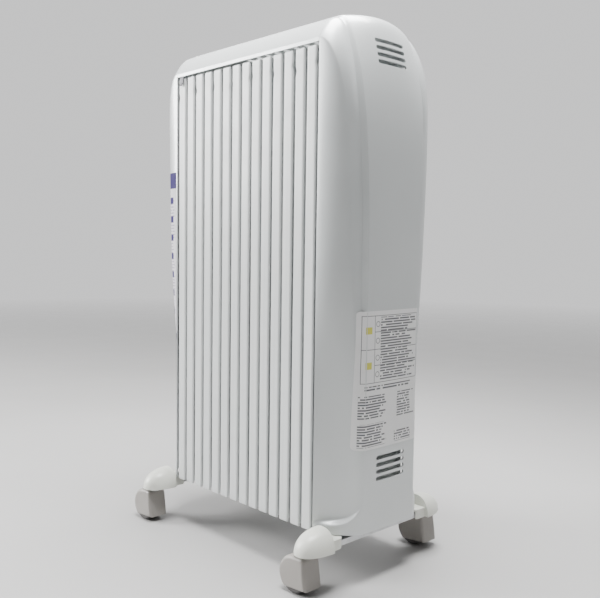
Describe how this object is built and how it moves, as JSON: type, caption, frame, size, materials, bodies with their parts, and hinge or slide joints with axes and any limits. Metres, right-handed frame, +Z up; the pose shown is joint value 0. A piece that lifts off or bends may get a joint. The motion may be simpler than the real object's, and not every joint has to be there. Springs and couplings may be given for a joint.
{
  "type": "oil filled radiator heater",
  "caption": "Upright oil filled radiator heater with flat slat faces, moulded end covers with vents, a top grille and swivelling twin-wheel casters.",
  "frame": {"origin": "on the floor, under the centre of the whole heater", "axes": "+Z up; +X along the row of fins, from the control end to the rear end; +Y through the thickness"},
  "size_m": [0.3734, 0.247, 0.652],
  "materials": {
    "fin_paint": "satin light grey powder coat",
    "cover_gloss": "glossy pale pearl grey moulding",
    "ivory_plastic": "smooth ivory moulding",
    "caster_grey": "smooth warm grey moulding",
    "panel_grey": "fine textured grey moulding",
    "knob_white": "satin white moulding",
    "pilot_lens": "translucent amber",
    "zinc_steel": "zinc plated",
    "brass": "machined",
    "switch_black": "moulded"
  },
  "bodies": {
    "root": {"fin_element_1": "fin_paint", "fin_element_2": "fin_paint", "fin_element_3": "fin_paint", "fin_element_4": "fin_paint", "fin_element_5": "fin_paint", "fin_element_6": "fin_paint", "fin_element_7": "fin_paint", "rear_cover": "cover_gloss", "front_cover": "cover_gloss", "top_cover": "cover_gloss", "heating_element": "zinc_steel", "rear_mounting_plate": "zinc_steel", "front_mounting_plate": "zinc_steel", "thermal_cutout": "zinc_steel", "caster_bar_front": "zinc_steel", "caster_bar_rear": "zinc_steel", "u_bolt_front": "zinc_steel", "u_bolt_rear": "zinc_steel", "element_flange": "brass", "header_plug_rear_lower": "brass", "header_plug_rear_upper": "brass", "header_plug_front_upper": "brass", "control_panel": "panel_grey", "pilot_lens": "pilot_lens", "thermostat_body": "switch_black", "switch_housing": "switch_black", "terminal_block": "switch_black", "tip_over_switch": "switch_black", "cord_gland": "switch_black", "caster_foot_front_left": "ivory_plastic", "wing_nut_front_left": "brass", "caster_foot_front_right": "ivory_plastic", "wing_nut_front_right": "brass", "caster_foot_rear_left": "ivory_plastic", "wing_nut_rear_left": "brass", "caster_foot_rear_right": "ivory_plastic", "wing_nut_rear_right": "brass"},
    "caster_front_left": {"caster_front_left_stem": "zinc_steel", "caster_front_left_hood": "caster_grey", "caster_front_left_axle": "zinc_steel"},
    "caster_front_left_left_wheel": {"caster_front_left_wheel_left": "caster_grey"},
    "caster_front_left_right_wheel": {"caster_front_left_wheel_right": "caster_grey"},
    "caster_front_right": {"caster_front_right_stem": "zinc_steel", "caster_front_right_hood": "caster_grey", "caster_front_right_axle": "zinc_steel"},
    "caster_front_right_left_wheel": {"caster_front_right_wheel_left": "caster_grey"},
    "caster_front_right_right_wheel": {"caster_front_right_wheel_right": "caster_grey"},
    "caster_rear_left": {"caster_rear_left_stem": "zinc_steel", "caster_rear_left_hood": "caster_grey", "caster_rear_left_axle": "zinc_steel"},
    "caster_rear_left_left_wheel": {"caster_rear_left_wheel_left": "caster_grey"},
    "caster_rear_left_right_wheel": {"caster_rear_left_wheel_right": "caster_grey"},
    "caster_rear_right": {"caster_rear_right_stem": "zinc_steel", "caster_rear_right_hood": "caster_grey", "caster_rear_right_axle": "zinc_steel"},
    "caster_rear_right_left_wheel": {"caster_rear_right_wheel_left": "caster_grey"},
    "caster_rear_right_right_wheel": {"caster_rear_right_wheel_right": "caster_grey"},
    "knob": {"thermostat_knob": "knob_white"},
    "rocker_1": {"rocker_switch_1": "switch_black"},
    "rocker_2": {"rocker_switch_2": "switch_black"}
  },
  "joints": [
    {"name": "caster_front_left_swivel", "type": "hinge", "parent": "root", "child": "caster_front_left", "pos_m": [-0.14925, -0.106, 0.045], "axis": [0, 0, 1], "continuous": true},
    {"name": "caster_front_left_left_spin", "type": "hinge", "parent": "caster_front_left", "child": "caster_front_left_left_wheel", "pos_m": [-0.16275, -0.11275, 0.019], "axis": [0, 1, 0], "continuous": true},
    {"name": "caster_front_left_right_spin", "type": "hinge", "parent": "caster_front_left", "child": "caster_front_left_right_wheel", "pos_m": [-0.16275, -0.09925, 0.019], "axis": [0, 1, 0], "continuous": true},
    {"name": "caster_front_right_swivel", "type": "hinge", "parent": "root", "child": "caster_front_right", "pos_m": [-0.14925, 0.106, 0.045], "axis": [0, 0, 1], "continuous": true},
    {"name": "caster_front_right_left_spin", "type": "hinge", "parent": "caster_front_right", "child": "caster_front_right_left_wheel", "pos_m": [-0.16275, 0.09925, 0.019], "axis": [0, 1, 0], "continuous": true},
    {"name": "caster_front_right_right_spin", "type": "hinge", "parent": "caster_front_right", "child": "caster_front_right_right_wheel", "pos_m": [-0.16275, 0.11275, 0.019], "axis": [0, 1, 0], "continuous": true},
    {"name": "caster_rear_left_swivel", "type": "hinge", "parent": "root", "child": "caster_rear_left", "pos_m": [0.15975, -0.106, 0.045], "axis": [0, 0, 1], "continuous": true},
    {"name": "caster_rear_left_left_spin", "type": "hinge", "parent": "caster_rear_left", "child": "caster_rear_left_left_wheel", "pos_m": [0.14625, -0.11275, 0.019], "axis": [0, 1, 0], "continuous": true},
    {"name": "caster_rear_left_right_spin", "type": "hinge", "parent": "caster_rear_left", "child": "caster_rear_left_right_wheel", "pos_m": [0.14625, -0.09925, 0.019], "axis": [0, 1, 0], "continuous": true},
    {"name": "caster_rear_right_swivel", "type": "hinge", "parent": "root", "child": "caster_rear_right", "pos_m": [0.15975, 0.106, 0.045], "axis": [0, 0, 1], "continuous": true},
    {"name": "caster_rear_right_left_spin", "type": "hinge", "parent": "caster_rear_right", "child": "caster_rear_right_left_wheel", "pos_m": [0.14625, 0.09925, 0.019], "axis": [0, 1, 0], "continuous": true},
    {"name": "caster_rear_right_right_spin", "type": "hinge", "parent": "caster_rear_right", "child": "caster_rear_right_right_wheel", "pos_m": [0.14625, 0.11275, 0.019], "axis": [0, 1, 0], "continuous": true},
    {"name": "thermostat_turn", "type": "hinge", "parent": "root", "child": "knob", "pos_m": [-0.17475, 0, 0.462], "axis": [-1, 0, 0], "range_deg": [0, 270]},
    {"name": "rocker_1_tilt", "type": "hinge", "parent": "root", "child": "rocker_1", "pos_m": [-0.17225, -0.013, 0.402], "axis": [0, 1, 0], "range_deg": [-16, 0]},
    {"name": "rocker_2_tilt", "type": "hinge", "parent": "root", "child": "rocker_2", "pos_m": [-0.17225, 0.013, 0.402], "axis": [0, 1, 0], "range_deg": [-16, 0]}
  ]
}
